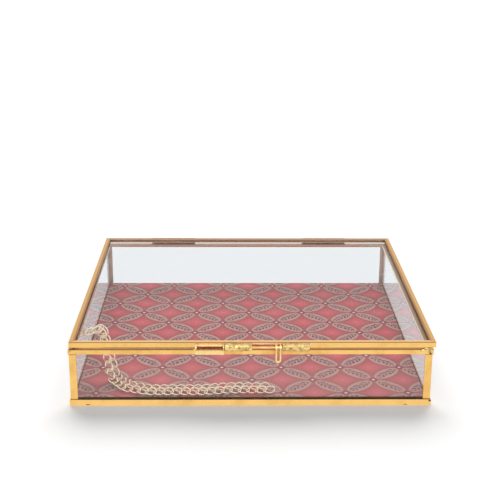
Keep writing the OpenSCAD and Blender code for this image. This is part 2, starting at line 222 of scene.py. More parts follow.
floor_mesh = bpy.data.meshes.new("studio_floor")
floor_mesh.from_pydata([(x * FLOOR_HALF, y * FLOOR_HALF, 0)
                        for x, y in ((-1, -1), (1, -1), (1, 1), (-1, 1))],
                       [], [(0, 1, 2, 3)])
floor = bpy.data.objects.new("studio_floor", floor_mesh)
scene.collection.objects.link(floor)
floor_tree, _, floor_material = new_material("studio_floor")
floor_tree.nodes.clear()
matt = add(floor_tree, "BsdfDiffuse", {"Color": FLOOR_COLOUR})
glow_strength = calc(floor_tree, "MULTIPLY", seen_directly(floor_tree), FLOOR_GLOW)
glow = add(floor_tree, "Emission", {"Color": WHITE, "Strength": glow_strength})
lit = add(floor_tree, "AddShader", {0: matt.outputs[0], 1: glow.outputs[0]})
white = add(floor_tree, "Emission", {"Color": WHITE, "Strength": 1.0})
mirrored = add(floor_tree, "LightPath").outputs["Is Glossy Ray"]
shown = add(floor_tree, "MixShader", {0: mirrored, 1: lit.outputs[0],
                                      2: white.outputs[0]})
add(floor_tree, "OutputMaterial", {"Surface": shown.outputs[0]})
floor_mesh.materials.append(floor_material)
print("stage: floor", 2 * FLOOR_HALF, "m across")

# %% [markdown]
# Besides the white sky there are two soft lamps. The big one behind lays the
# shadow forward over the floor, as a softbox over a product table does. The
# small one in front puts a bright line on every wire. A lamp's angle is what
# makes its shadow soft. The big one is kept out of mirrors, because a patch
# of it on the lid would hide the inside of the box from some sides.

# %% Add the lamps
def soft_lamp(name, strength, spread, elevation, turn, in_mirrors):
    """A far lamp that fills spread degrees of the sky and lights the box."""
    lamp = bpy.data.lights.new(name, "SUN")
    lamp.energy = strength
    lamp.angle = math.radians(spread)
    holder = bpy.data.objects.new(name, lamp)
    scene.collection.objects.link(holder)
    holder.visible_glossy = in_mirrors
    holder.visible_transmission = False
    rise, side = math.radians(elevation), math.radians(turn)
    away = Vector((math.sin(side) * math.cos(rise), math.cos(side) * math.cos(rise),
                   math.sin(rise)))
    holder.rotation_euler = away.to_track_quat("Z", "Y").to_euler()


soft_lamp("softbox_behind", strength=2.7, spread=48, elevation=50, turn=0,
          in_mirrors=False)
soft_lamp("softbox_front", strength=0.54, spread=24, elevation=40, turn=186,
          in_mirrors=True)

# %% [markdown]
# Some effects are on more than one material. Each of them is a shader group:
# a small graph with named inputs and outputs that is built once and placed in
# every material that needs it, with that material's own values.

# %% Helpers for shared groups
def open_group(name, inputs, outputs):
    """A shader group with named sockets; gives the group, its in and its out."""
    group = bpy.data.node_groups.new(name, "ShaderNodeTree")
    for label, kind, value in inputs:
        socket = group.interface.new_socket(label, in_out="INPUT",
                                            socket_type="NodeSocket" + kind)
        socket.default_value = value
    for label, kind in outputs:
        group.interface.new_socket(label, in_out="OUTPUT",
                                   socket_type="NodeSocket" + kind)
    entry = group.nodes.new("NodeGroupInput")
    leave = group.nodes.new("NodeGroupOutput")
    return group, entry.outputs, leave.inputs


def use_group(tree, group, **sockets):
    """Places a group and fills its inputs; a _ stands for a space in a name."""
    made = tree.nodes.new("ShaderNodeGroup")
    made.node_tree = group
    for name, value in sockets.items():
        fill(tree, made.inputs[name.replace("_", " ")], value)
    return made.outputs


print("group helpers ready")

# %% [markdown]
# Brass strip that has been cut, folded and touched is never one colour. It
# has cloudy patches, fine specks and shallow waves. Its upper faces are
# blended towards a veil tone, a painted tone for how light falls on faces
# that look up. Its undersides are painted a darker, duller tone: painted
# shade, as under the lid's lip. One shared group makes all of that for every
# metal here, and each material gives it its own colours, sizes and strengths.

# %% Shared group: metal wear and painted shade
SPECKS_PER_METRE, WAVES_PER_METRE = 900.0, 55.0
CLOUDS_SHOW, SPECKS_SHOW = (0.36, 0.72), (0.56, 0.74)
SPECK_WEAR, SPECK_HEIGHT = 0.8, 0.12
FLAT_FROM, FLAT_FULL = 0.6, 0.95

wear_and_shade, given, gives = open_group(
    "metal_wear_and_shade",
    [("Clean", "Color", (0.9, 0.6, 0.2, 1)), ("Dull", "Color", (0.5, 0.3, 0.1, 1)),
     ("Patches per metre", "Float", 90.0), ("Dullness", "Float", 0.5),
     ("Smooth", "Float", 0.15), ("Rough", "Float", 0.4), ("Veil", "Float", 0.3),
     ("Veil colour", "Color", (0.7, 0.5, 0.35, 1)),
     ("Under", "Float", 0.0), ("Under colour", "Color", (0.1, 0.05, 0.02, 1))],
    [("Color", "Color"), ("Roughness", "Float"), ("Height", "Float"),
     ("Upper", "Float")])
h = wear_and_shade
spot = place(h)
clouds = cloud(h, spot, given["Patches per metre"], 5.0, 0.62)
specks = cloud(h, spot, SPECKS_PER_METRE, 3.0, 0.7)
waves = cloud(h, spot, WAVES_PER_METRE, 2.0)
speckled = calc(h, "MULTIPLY", ramp(h, specks, *SPECKS_SHOW), SPECK_WEAR)
worn = calc(h, "MAXIMUM", ramp(h, clouds, *CLOUDS_SHOW), speckled)
metal = blend_colour(h, calc(h, "MULTIPLY", worn, given["Dullness"]),
                     given["Clean"], given["Dull"])

normal = add(h, "TexCoord").outputs["Normal"]
facing = add(h, "SeparateXYZ", {"Vector": normal}).outputs["Z"]
# Painted tones set by which way a face looks: the veil tone on faces that look up,
# painted shade on faces that look down.
upper = calc(h, "MULTIPLY", ramp(h, facing, FLAT_FROM, FLAT_FULL), given["Veil"])
under = calc(h, "MULTIPLY", fade(h, facing, -FLAT_FULL, -FLAT_FROM), given["Under"])
veiled = blend_colour(h, upper, metal, given["Veil colour"])
fill(h, gives["Color"], blend_colour(h, under, veiled, given["Under colour"]))
fill(h, gives["Upper"], upper)
matt_share = calc(h, "MAXIMUM", calc(h, "MAXIMUM", worn, upper), under)
span = calc(h, "SUBTRACT", given["Rough"], given["Smooth"])
fill(h, gives["Roughness"], calc(h, "MULTIPLY_ADD", matt_share, span, given["Smooth"]))
fill(h, gives["Height"], calc(h, "MULTIPLY_ADD", specks, SPECK_HEIGHT, waves))
print("group:", wear_and_shade.name, len(wear_and_shade.nodes), "nodes")

# %% [markdown]
# Some tones are painted in one place only, such as a pale face behind
# glass, which is painted light, or a dark line under the lid's lip, which is
# a painted shadow. A band masks a stretch along one axis, with soft ends,
# and two bands multiplied mask a patch. That finds the face of a rail by its
# height or depth, with no painting by hand.

# %% Shared group: a band along one axis
banded, given, gives = open_group(
    "band_mask", [("Where", "Float", 0.0), ("Low", "Float", 0.0),
                  ("High", "Float", 0.0), ("Soft", "Float", 0.001)],
    [("Mask", "Float")])
band_start = calc(banded, "SUBTRACT", given["Low"], given["Soft"])
band_stop = calc(banded, "ADD", given["High"], given["Soft"])
band_rise = ramp(banded, given["Where"], band_start, given["Low"])
band_fall = fade(banded, given["Where"], given["High"], band_stop)
fill(banded, gives["Mask"], calc(banded, "MULTIPLY", band_rise, band_fall))


def band(tree, axis, low, high, soft):
    """1 where the point's X, Y or Z is between two values in mm, 0 beyond."""
    return use_group(tree, banded, Where=coordinates(tree)[axis], Low=low * MM,
                     High=high * MM, Soft=soft * MM)["Mask"]


print("group:", banded.name, len(banded.nodes), "nodes")

# %% [markdown]
# A metal starts from the shared group and then takes what is special to it.
# A wire is painted darker towards its outline, a painted reflection of its
# dark neighbours. The lid's side rails are darker along their inner edge. A
# post has painted shade in the seams where it meets the rails. Where a face
# is matt in the real box, its metallic share drops, so that it shows its own
# colour and not a mirror image.

# %% One metal from its parts
LID_MIDDLE_X, LID_HALF_INNER_X, LID_HALF_INNER_Y = 1.1 * MM, 121.3 * MM, 115.5 * MM
EDGE_WIDTHS, EDGE_TONE, EDGE_MATT = (0.9 * MM, 1.9 * MM), 0.9, 0.7
# Painted shade in a post's seams: its colour, its widths and its strength.
SEAM_SHADE, SEAM_SHADE_WIDTHS, SEAM_SHADE_TONE = linear(92, 58, 34), (0.2 * MM, 0.9 * MM), 0.8
TURNING_AWAY = (0.45, 0.95)


def from_inner_edge(tree):
    """How far out a point of the lid's rails lies from their inner edge."""
    spot = coordinates(tree)
    out_x = calc(tree, "ABSOLUTE", calc(tree, "SUBTRACT", spot["X"], LID_MIDDLE_X))
    out_x = calc(tree, "SUBTRACT", out_x, LID_HALF_INNER_X)
    out_y = calc(tree, "SUBTRACT", calc(tree, "ABSOLUTE", spot["Y"]), LID_HALF_INNER_Y)
    return calc(tree, "MAXIMUM", out_x, out_y)


def metal_material(name, clean, dull, dents=0.12, metallic=1.0, outline=None,
                   edge=None, stains=(), seams=(), matt_top=0.0, matt_side=None,
                   **settings):
    """A metal in two tones, with the shared group's settings and its own extras.

    dents is in mm. outline is a wire's painted reflection tone where it turns
    away, and edge the tone of a lid rail's inner edge. Each entry of
    stains is a tone, its strength and its bands; some are painted
    shade. seams are heights in mm with painted shade. matt_top, and the share
    after matt_side's band, say how much of the mirror is lost there.
    """
    tree, shader, made = new_material(name)
    out = use_group(tree, wear_and_shade, Clean=linear(*clean), Dull=linear(*dull), **settings)
    colour, shine = out["Color"], metallic
    # Painted reflection: the colour goes to the outline tone where the face turns away.
    if outline:
        turning = add(tree, "LayerWeight", {"Blend": 0.5}).outputs["Facing"]
        colour = blend_colour(tree, ramp(tree, turning, *TURNING_AWAY), colour,
                              linear(*outline))
    if matt_top:
        shine = calc(tree, "MULTIPLY_ADD", out["Upper"], -matt_top, shine)
    if matt_side:
        side, share = matt_side
        shine = calc(tree, "MULTIPLY_ADD", band(tree, *side), -share, shine)
    if edge:
        at_edge = fade(tree, from_inner_edge(tree), *EDGE_WIDTHS, start=EDGE_TONE)
        colour = blend_colour(tree, at_edge, colour, linear(*edge))
        shine = calc(tree, "MULTIPLY_ADD", at_edge, -EDGE_MATT, shine)
    # Stains and painted shades, each in its bands.
    for tone, strength, *bands in stains:
        share = strength
        for one_band in bands:
            share = calc(tree, "MULTIPLY", band(tree, *one_band), share)
        colour = blend_colour(tree, share, colour, linear(*tone))
    # Painted shade in the seams at each given height.
    for level in seams:
        height = coordinates(tree)["Z"]
        away = calc(tree, "ABSOLUTE", calc(tree, "SUBTRACT", height, level * MM))
        seam_shaded = fade(tree, away, *SEAM_SHADE_WIDTHS, start=SEAM_SHADE_TONE)
        colour = blend_colour(tree, seam_shaded, colour, SEAM_SHADE)
    fill(tree, shader.inputs["Metallic"], shine)
    fill(tree, shader.inputs["Base Color"], colour)
    fill(tree, shader.inputs["Roughness"], out["Roughness"])
    dent(tree, shader, out["Height"], dents * MM, strength=0.5)
    return made


print("metals can be mixed")

# %% [markdown]
# Every rail and post is cut from one kind of strip, so they share their tones
# and settings. Each then says only what differs: the veil on its upper faces,
# and the marks and painted shades of its own place. Bands are in millimetres
# from the middle of the box and up from the table.

# %% Brass strip
STRIP_TONES = (252, 204, 122), (232, 174, 92)
STRIP_LOOK = {"Patches_per_metre": 60.0, "Dullness": 0.5, "Smooth": 0.12,
              "Rough": 0.4, "Veil": 1.0}


def strip_brass(part, veil, **changes):
    """The box's brass strip, with the veil and the changes of one part."""
    look = {**STRIP_LOOK, "Veil_colour": linear(*veil), **changes}
    return metal_material("brass_strip" + part, *STRIP_TONES, **look)


brass = strip_brass("", (222, 176, 120), Rough=0.34, Veil=0.8)
# The lid's front rail: painted shade on its undersides and in a dark brown line along
# its lower edge on the left, in the gap above the rim. It also has a brown line along
# its top edge and a pale patch between the guides.
lid_front_brass = strip_brass(
    "_lid_front", (250, 206, 136), Rough=0.34, Under=1.0,
    Under_colour=linear(168, 108, 56),
    stains=[((150, 98, 54), 0.8, ("Y", -122.0, -118.0, 0.5), ("Z", 46.75, 47.5, 0.1)),
            ((236, 214, 200), 0.8, ("X", -38.5, 40.0, 0.6), ("Z", 43.4, 46.6, 0.1)),
            ((84, 54, 32), 0.7, ("X", -97.0, -40.0, 8.0), ("Z", 42.5, 43.5, 0.1))])
# The lid's side rails: painted shade on their undersides.
side_brass = strip_brass("_side", (220, 172, 98), edge=(156, 100, 48), Under=1.0,
                         Under_colour=linear(160, 112, 70))
# The side rims: a cream strip along each flange's inner edge, and grey-tan painted shade
# where the lid's rail covers the right flange.
rim_brass = strip_brass(
    "_rim", (240, 202, 160), Dullness=0.6, Rough=0.5, matt_top=0.7,
    stains=[((255, 246, 226), 0.9, ("X", 119.0, 120.6, 0.3)),
            ((190, 160, 130), 0.8, ("X", 120.9, 126.0, 0.3)),
            ((255, 238, 208), 0.8, ("X", -120.6, -119.0, 0.3))])
rim_front_brass = strip_brass("_rim_front", (240, 186, 120), Dullness=0.6, Rough=0.6)
# Posts: painted shade in their seams with the rails.
post_brass = metal_material("brass_strip_post", *STRIP_TONES, Patches_per_metre=80.0,
                            Dullness=0.5, Smooth=0.12, Rough=0.34, Veil=0.5,
                            seams=(4.3, 38.2))
print("brass strip: front and sides")

# %% [markdown]
# What stands at the back is seen through glass. Its inner faces are painted
# pale and made nearly matt: painted light that lifts faces the lamps leave
# dim behind the glass. The same band gives the pale tone and takes the mirror
# away. A thin grey-tan line on the rear rim's top edge is painted shade from
# the lid.

# %% Brass strip at the back
RIM_INNER = ("Y", 100.0, 118.65, 0.1)
LID_INNER = ("Y", 112.0, 117.4, 0.4)
rear_brass = strip_brass("_rear", (240, 198, 160), matt_side=(RIM_INNER, 0.7),
                         stains=[((255, 230, 206), 0.9, RIM_INNER),
                                 ((188, 156, 130), 0.9, ("Z", 41.3, 41.6, 0.05))])
# The lid's rear rail: a brown painted top-face tone, and pale painted light on its inner
# face.
lid_rear_brass = strip_brass("_lid_rear", (170, 124, 78), matt_side=(LID_INNER, 0.7),
                             stains=[((255, 236, 214), 0.9, LID_INNER,
                                      ("Z", 40.0, 46.75, 0.1))])
print("brass strip:", sum("strip" in m.name for m in bpy.data.materials), "kinds")

# %% [markdown]
# Solder is paler than brass and lumpy, so its patches are small and its dents
# deep. Wire is drawn smooth, and wire and solder get a dark outline that is a
# painted reflection. The hinges have gone brown. The inside of a tube is
# painted dark and coppery, painted shade in its slot. The dark marks beside
# joints, burnt flux and painted shade in gaps, are nearly black.

# %% Solder, wires and tubes
aged_brass = metal_material(
    "aged_brass", (150, 104, 60), (84, 52, 32), Patches_per_metre=260.0, Dullness=0.7,
    Smooth=0.3, Rough=0.6, Veil=0.3, Veil_colour=linear(130, 96, 66))
pale_solder = metal_material(
    "pale_solder", (254, 224, 154), (248, 204, 128), dents=0.3,
    Patches_per_metre=300.0, Dullness=0.6, Smooth=0.14, Rough=0.4, Veil=0.2,
    Veil_colour=linear(250, 226, 168))
solder = metal_material(
    "solder", (250, 218, 146), (150, 114, 62), dents=0.5, outline=(190, 144, 84),
    Patches_per_metre=330.0, Dullness=0.95, Smooth=0.26, Rough=0.5, Veil=0.2,
    Veil_colour=linear(232, 204, 138))
chain_metal = metal_material(
    "chain_wire", (255, 242, 214), (255, 226, 180), outline=(234, 182, 120),
    Patches_per_metre=300.0, Dullness=0.4, Smooth=0.1, Rough=0.22, Veil=0.0)
rod_metal = metal_material(
    "rod_wire", (236, 184, 126), (204, 148, 96), outline=(130, 80, 40),
    Patches_per_metre=200.0, Dullness=0.4, Smooth=0.34, Rough=0.5, Veil=0.0)
loop_metal = metal_material(
    "loop_wire", (253, 224, 158), (226, 176, 100), outline=(160, 104, 48),
    Patches_per_metre=200.0, Dullness=0.4, Smooth=0.15, Rough=0.35, Veil=0.0)
keeper_brass = metal_material(
    "keeper_brass", (248, 208, 130), (236, 186, 108), metallic=0.6, matt_top=0.5,
    Patches_per_metre=200.0, Dullness=0.5, Smooth=0.2, Rough=0.45, Veil=1.0,
    Veil_colour=linear(255, 222, 160))
# Painted shade for the inside of the keeper's tube.
tube_inside_shade = metal_material(
    "tube_inside_shade", (206, 112, 66), (150, 80, 46), metallic=0.4,
    Patches_per_metre=300.0, Dullness=0.8, Smooth=0.4, Rough=0.7, Veil=0.8,
    Veil_colour=linear(230, 184, 120))
# Dark marks: burnt flux, and painted shade in gaps.
flux_and_shade_mark = metal_material(
    "flux_and_shade_mark", (84, 52, 34), (48, 30, 22), metallic=0.3, Patches_per_metre=700.0,
    Dullness=0.7, Smooth=0.4, Rough=0.7, Veil=0.0)
print("metals:", [m.name for m in bpy.data.materials if "floor" not in m.name])

# %% [markdown]
# Window glass two millimetres thick bends and mirrors what is behind and in
# front of it, and takes a little light out. Shadows and soft bounced light
# would make a renderer hunt for paths through it, so for those rays the pane
# is a plain tinted filter. Everything that the eye follows sees real glass.
# The lid bends light less than glass does, because its mirror image of the
# white sky would otherwise hide the paper. Faint smears make all panes a
# little rough in places, so they are a shared group.

# %% Glass panes
SMEARS_PER_METRE, SMEARS_SHOW = 26.0, (0.55, 0.8)
smears, given, gives = open_group("glass_smears", [("Most", "Float", 0.03)],
                                  [("Roughness", "Float")])
wiped = cloud(smears, place(smears), SMEARS_PER_METRE, 4.0)
fill(smears, gives["Roughness"], ramp(smears, wiped, *SMEARS_SHOW, 0.0, given["Most"]))


def glass_material(name, tint, filter_tint, bend):
    """Clear glass; bend is its index of refraction, 1 for none."""
    tree, shader, made = new_material(name)
    fill(tree, shader.inputs["Base Color"], linear(*tint))
    fill(tree, shader.inputs["Transmission Weight"], 1.0)
    fill(tree, shader.inputs["IOR"], bend)
    fill(tree, shader.inputs["Roughness"], use_group(tree, smears)["Roughness"])
    path = add(tree, "LightPath").outputs
    lighting = calc(tree, "MAXIMUM", path["Is Shadow Ray"], path["Is Diffuse Ray"])
    through = add(tree, "BsdfTransparent", {"Color": linear(*filter_tint)})
    mixed = add(tree, "MixShader", {0: lighting, 1: shader.outputs[0],
                                    2: through.outputs[0]})
    fill(tree, tree.nodes["Material Output"].inputs["Surface"], mixed.outputs[0])
    return made


wall_glass = glass_material("wall_glass", (246, 248, 249), (244, 246, 247), bend=1.33)
front_glass = glass_material("front_glass", (248, 250, 251), (168, 170, 172),
                             bend=1.45)
lid_glass = glass_material("lid_glass", (245, 248, 250), (252, 252, 252), bend=1.09)
print("glass:", wall_glass.name, front_glass.name, lid_glass.name)

# %% [markdown]
# The floor is lined with printed paper: overlapping circles, an old pattern
# that comes out as pointed petals round four-cornered stars. Each square cell
# holds one petal, where two circles of one cell's size overlap, so a few
# distances inside the cell draw all of it and no image is needed. Every other
# cell is mirrored, which turns its petal the other way.

# %% Lining paper: find the cell
PETAL_CELL = 21.8325 * MM
PATTERN_CORNER = {"X": 1.323 * MM, "Y": -110.085 * MM}
p, paper_shader, paper = new_material("printed_paper")
point = coordinates(p)
across, along = (calc(p, "DIVIDE", calc(p, "SUBTRACT", point[axis],
                                        PATTERN_CORNER[axis]), PETAL_CELL)
                 for axis in "XY")
odd = calc(p, "FLOORED_MODULO", calc(p, "ADD", calc(p, "FLOOR", across),
                                     calc(p, "FLOOR", along)), 2.0)
plain_u = calc(p, "FRACT", across)
cell_v = calc(p, "FRACT", along)
mirror = calc(p, "MULTIPLY", odd, calc(p, "MULTIPLY_ADD", plain_u, -2.0, 1.0))
cell_u = calc(p, "ADD", plain_u, mirror)
print("pattern cell", PETAL_CELL / MM, "mm")

# %% [markdown]
# The petal is what lies within one cell's size of two opposite corners, and
# the stars have their middles in those corners. A dot sits in each of the two
# others, where four petals meet. The paper's own fibres make the printed edge
# a little ragged, as ink on cheap paper is.

# %% Lining paper: petals and stars
STAR_MIDDLE, STAR_TIP = linear(216, 98, 104), linear(194, 86, 90)
PETAL_MIDDLE, PETAL_RIM = linear(198, 156, 148), linear(203, 161, 146)
PETAL_SHADE = linear(170, 88, 84)
RAGGED, INK_SPREAD = 0.09, 0.045


def distance_to(u, v):
    """How far the shaded point is from a corner of its cell."""
    du = calc(p, "SUBTRACT", cell_u, u)
    dv = calc(p, "SUBTRACT", cell_v, v)
    return calc(p, "SQRT", calc(p, "MULTIPLY_ADD", du, du, calc(p, "MULTIPLY", dv, dv)))


star_near, star_far = distance_to(0.0, 0.0), distance_to(1.0, 1.0)
rim = calc(p, "MAXIMUM", star_near, star_far)
star = calc(p, "MINIMUM", star_near, star_far)
dot = calc(p, "MINIMUM", distance_to(1.0, 0.0), distance_to(0.0, 1.0))
fibres = cloud(p, place(p), 1100.0, 4.0, 0.75)
wash = cloud(p, place(p), 60.0, 3.0)
blunt = fade(p, dot, 0.08, 0.26, start=0.1)
ragged = calc(p, "MULTIPLY_ADD", fibres, RAGGED,
              calc(p, "ADD", calc(p, "SUBTRACT", rim, INK_SPREAD), blunt))
ground = blend_colour(p, ramp(p, star, 0.12, 0.5), STAR_MIDDLE, STAR_TIP)
petal_face = blend_colour(p, ramp(p, ragged, 0.89, 0.94), PETAL_MIDDLE, PETAL_RIM)
outline = blend_colour(p, ramp(p, ragged, 1.0, 1.17), PETAL_SHADE, ground)
print("petals and stars drawn")

# %% [markdown]
# Inside each petal lies a small leafy sprig. A sprig is a thin stem along the
# petal with leaves set off to each side in turn. Measured along and across
# the petal, a leaf is a slanted oval that repeats, which is again arithmetic.
# Two slow noises push the point about, so that no two sprigs are the same.

# %% Lining paper: sprigs
LEAF_STEP, LEAF_OFFSET, LEAF_SLANT = 0.235, 0.115, math.radians(38)
LEAF_HALF_LONG, LEAF_HALF_WIDE = 0.11, 0.056
STEM_BENDS, STEM_SWAY, STEM_WIDTHS = 9.0, 0.03, (0.012, 0.022)
PUSH, SPRIG_INK = 0.16, linear(92, 52, 62)


def oval_share(length, half):
    """How far out a length lies on an oval, squared: 1 on its edge."""
    return calc(p, "POWER", calc(p, "DIVIDE", calc(p, "ABSOLUTE", length), half), 2.0)


push_s, push_t = (calc(p, "MULTIPLY_ADD", cloud(p, place(p), scale, 1.0), PUSH,
                       -PUSH / 2) for scale in (310.0, 370.0))
sprig_s = calc(p, "ADD", calc(p, "SUBTRACT", cell_u, cell_v), push_s)
sprig_t = calc(p, "ADD", calc(p, "SUBTRACT", calc(p, "ADD", cell_u, cell_v), 1.0),
               push_t)
sway = calc(p, "MULTIPLY", calc(p, "SINE", calc(p, "MULTIPLY", sprig_s, STEM_BENDS)),
            STEM_SWAY)
beside = calc(p, "SUBTRACT", sprig_t, sway)
side = calc(p, "GREATER_THAN", beside, 0.0)
step = calc(p, "MULTIPLY_ADD", side, 0.5, calc(p, "DIVIDE", sprig_s, LEAF_STEP))
leaf_s = calc(p, "MULTIPLY", calc(p, "SUBTRACT", calc(p, "FRACT", step), 0.5),
              LEAF_STEP)
leaf_t = calc(p, "SUBTRACT", calc(p, "ABSOLUTE", beside), LEAF_OFFSET)
leaf_long = calc(p, "MULTIPLY_ADD", leaf_s, math.cos(LEAF_SLANT),
                 calc(p, "MULTIPLY", leaf_t, math.sin(LEAF_SLANT)))
leaf_wide = calc(p, "MULTIPLY_ADD", leaf_t, math.cos(LEAF_SLANT),
                 calc(p, "MULTIPLY", leaf_s, -math.sin(LEAF_SLANT)))
leaf = calc(p, "SQRT", calc(p, "ADD", oval_share(leaf_long, LEAF_HALF_LONG),
                            oval_share(leaf_wide, LEAF_HALF_WIDE)))
leaf = calc(p, "MULTIPLY_ADD", fibres, 0.4, calc(p, "SUBTRACT", leaf, 0.2))
stem = fade(p, calc(p, "ABSOLUTE", beside), *STEM_WIDTHS, start=0.6)
drawn = calc(p, "MAXIMUM", stem, fade(p, leaf, 0.9, 1.25))
drawn = calc(p, "MULTIPLY", drawn, fade(p, ragged, 0.87, 0.91))
petals = blend_colour(p, calc(p, "MULTIPLY", drawn, 0.95), petal_face, SPRIG_INK)
print("leaf step", round(LEAF_STEP * PETAL_CELL / MM, 2), "mm")

# %% [markdown]
# The print is built up as a printer would: petals over the red ground, then a
# dot with a dark ring and a white heart where petals meet, and a faint eye in
# each star. Age comes next: the paper is paler in patches and darker between
# its fibres. Last, a strip along the front is painted lighter, painted light
# that stands for the light coming in through the front pane.

# %% Lining paper: put the print together
DOT_RED, DOT_RING = linear(176, 84, 92), linear(92, 46, 62)
DOT_HEART, STAR_EYE = linear(255, 236, 240), linear(240, 150, 160)
PALE_PATCH = linear(222, 160, 158)
# A lighter tone painted on a strip along the front: painted light.
FIBRE_DARK, PAINTED_FRONT_LIGHT = linear(110, 50, 58), linear(255, 190, 184)

print_ink = blend_colour(p, ramp(p, ragged, 0.955, 0.995), petals, outline)
in_ring = calc(p, "MULTIPLY", ramp(p, dot, 0.075, 0.09), fade(p, dot, 0.12, 0.14))
in_eye = calc(p, "MULTIPLY", ramp(p, star, 0.03, 0.05), fade(p, star, 0.06, 0.08))
wavy_depth = calc(p, "MULTIPLY_ADD", wash, 0.03, point["Y"])
for share, colour in ((fade(p, dot, 0.12, 0.17), DOT_RED), (in_ring, DOT_RING),
                      (fade(p, dot, 0.035, 0.055), DOT_HEART),
                      (calc(p, "MULTIPLY", in_eye, 0.45), STAR_EYE),
                      (ramp(p, wash, 0.35, 0.75, 0.0, 0.16), PALE_PATCH),
                      (fade(p, fibres, 0.3, 0.7, start=0.25), FIBRE_DARK),
                      (fade(p, wavy_depth, -0.07, -0.04, start=0.11), PAINTED_FRONT_LIGHT)):
    print_ink = blend_colour(p, share, print_ink, colour)
fill(p, paper_shader.inputs["Base Color"], print_ink)
fill(p, paper_shader.inputs["Roughness"], ramp(p, wash, 0.2, 0.8, 0.72, 0.9))
dent(p, paper_shader, fibres, depth=0.06 * MM, strength=0.6)
print("paper:", len(p.nodes), "nodes")

# %% [markdown]
# Under the paper is a thin fibreboard. Only its sawn edge shows: dark brown,
# with streaks that run along it where the saw pulled the fibres. The noise is
# stretched level by reading it slowly along X and Y.

# %% Board
STRETCH = (0.12, 0.12, 1.0)
BOARD_DARK, BOARD_PALE = linear(180, 96, 68), linear(212, 134, 92)
b, board_shader, board = new_material("fibre_board")
stretched = add(b, "Mapping", {"Vector": place(b), "Scale": STRETCH}).outputs[0]
streaks = cloud(b, stretched, 1400.0, 5.0, 0.7)
fill(b, board_shader.inputs["Base Color"],
     blend_colour(b, ramp(b, streaks, 0.35, 0.7), BOARD_DARK, BOARD_PALE))
fill(b, board_shader.inputs["Roughness"], ramp(b, streaks, 0.3, 0.7, 0.75, 0.92))
dent(b, board_shader, streaks, depth=0.2 * MM, strength=0.6)
print("board ready")

# %% [markdown]
# A piece starts in a bmesh, which is Blender's workbench for loose points and
# faces, and becomes a mesh when it is done. Two helpers take it from there to
# an object that rides on a body of the frame, and a third makes a flat slab
# with its edges taken off, because cut metal and glass never have sharp ones.

# %% Helpers for pieces
def finish_piece(name, mesh, body, slot, *materials):
    """Puts a mesh in the scene as a piece that rides on a body."""
    made = bpy.data.objects.new(name, mesh)
    scene.collection.objects.link(made)
    for material in materials:
        mesh.materials.append(material)
    mesh.shade_smooth()
    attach(made, body)
    return made


def mesh_of(bm, name):
    """Turns the faces outwards and hands the bmesh over as a mesh."""
    bmesh.ops.recalc_face_normals(bm, faces=bm.faces)
    mesh = bpy.data.meshes.new(name)
    bm.to_mesh(mesh)
    bm.free()
    return mesh


def box_in_mm(node):
    """The lowest and highest corner of a node of the frame."""
    return [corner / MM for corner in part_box(node)]


def slab(bm, low, high, bevel=0.12, material=0):
    """A flat slab with its edges taken off, between two corners in mm."""
    earlier = set(bm.faces)
    made = bmesh.ops.create_cube(bm, size=1.0)["verts"]
    for vertex in made:
        vertex.co = Vector([(low[i] + high[i]) / 2 * MM
                            + vertex.co[i] * (high[i] - low[i]) * MM for i in range(3)])
    edges = list({e for v in made for e in v.link_edges})
    bmesh.ops.bevel(bm, geom=edges, offset=bevel * MM, segments=2, affect="EDGES")
    for face in set(bm.faces) - earlier:
        face.material_index = material


print("piece helpers ready")

# %% [markdown]
# A drawing lets a pane touch the metal that holds it. A real one stands a
# little clear of it, and its cut edges are rubbed dull so that they don't
# cut. Each pane is made again as a slab a few hundredths of a millimetre
# smaller with its edges taken off, so a post behind glass is seen as a post.

# %% Panes with rubbed edges
PANE_CLEAR, PANE_ARRIS = Vector((0.04, 0.04, 0.04)), 0.22
PANES = {"front_pane": front_glass, "rear_pane": wall_glass, "left_pane": wall_glass,
         "right_pane": wall_glass, "floor_pane": wall_glass, "lid_pane": lid_glass}
for name, glass in PANES.items():
    low, high = box_in_mm(name)
    bm = bmesh.new()
    slab(bm, low + PANE_CLEAR, high - PANE_CLEAR, bevel=PANE_ARRIS)
    pane = finish_piece(name + "_glass", mesh_of(bm, name + "_glass"),
                        "lid" if name.startswith("lid") else "base", "glass", glass)
    pane.data.shade_flat()
    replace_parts(pane, name)
print("panes:", len(PANES))

# %% [markdown]
# The stay chain is a curb chain, of twisted links. The frame has plain oval
# links in the same places, and they say where each link is and which way it
# runs. Points that hang together are one link. Its middle comes from its
# lowest and highest values, and its long side from its two ends.

# %% Find the links
WELD, NEAR_END = 0.001 * MM, 0.985


def islands_of(bm):
    """The sets of vertices that hang together, one after the other."""
    left = set(bm.verts)
    while left:
        island, edge = set(), [next(iter(left))]
        while edge:
            corner = edge.pop()
            if corner not in island:
                island.add(corner)
                edge.extend(e.other_vert(corner) for e in corner.link_edges)
        left -= island
        yield island


def links_of(node):
    """Middle and direction of each separate link in a chain node."""
    bm = bmesh.new()
    bm.from_mesh(node.data)
    bmesh.ops.remove_doubles(bm, verts=bm.verts, dist=WELD)
    found = []
    for island in islands_of(bm):
        spots = [v.co.copy() for v in island]
        lowest = Vector([min(q[i] for q in spots) for i in range(3)])
        highest = Vector([max(q[i] for q in spots) for i in range(3)])
        middle = (lowest + highest) / 2
        far = max(spots, key=lambda q: (q - middle).length) - middle
        axis = Vector()
        for q in spots:
            out = q - middle
            if out.length > NEAR_END * far.length:
                axis += out if out.dot(far) > 0 else -out
        found.append((middle, axis.normalized()))
    bm.free()
    return sorted(found, key=lambda link: tuple(link[0]))


print("links:", sum(len(links_of(o)) for n, o in nodes.items() if "_chain_" in n))

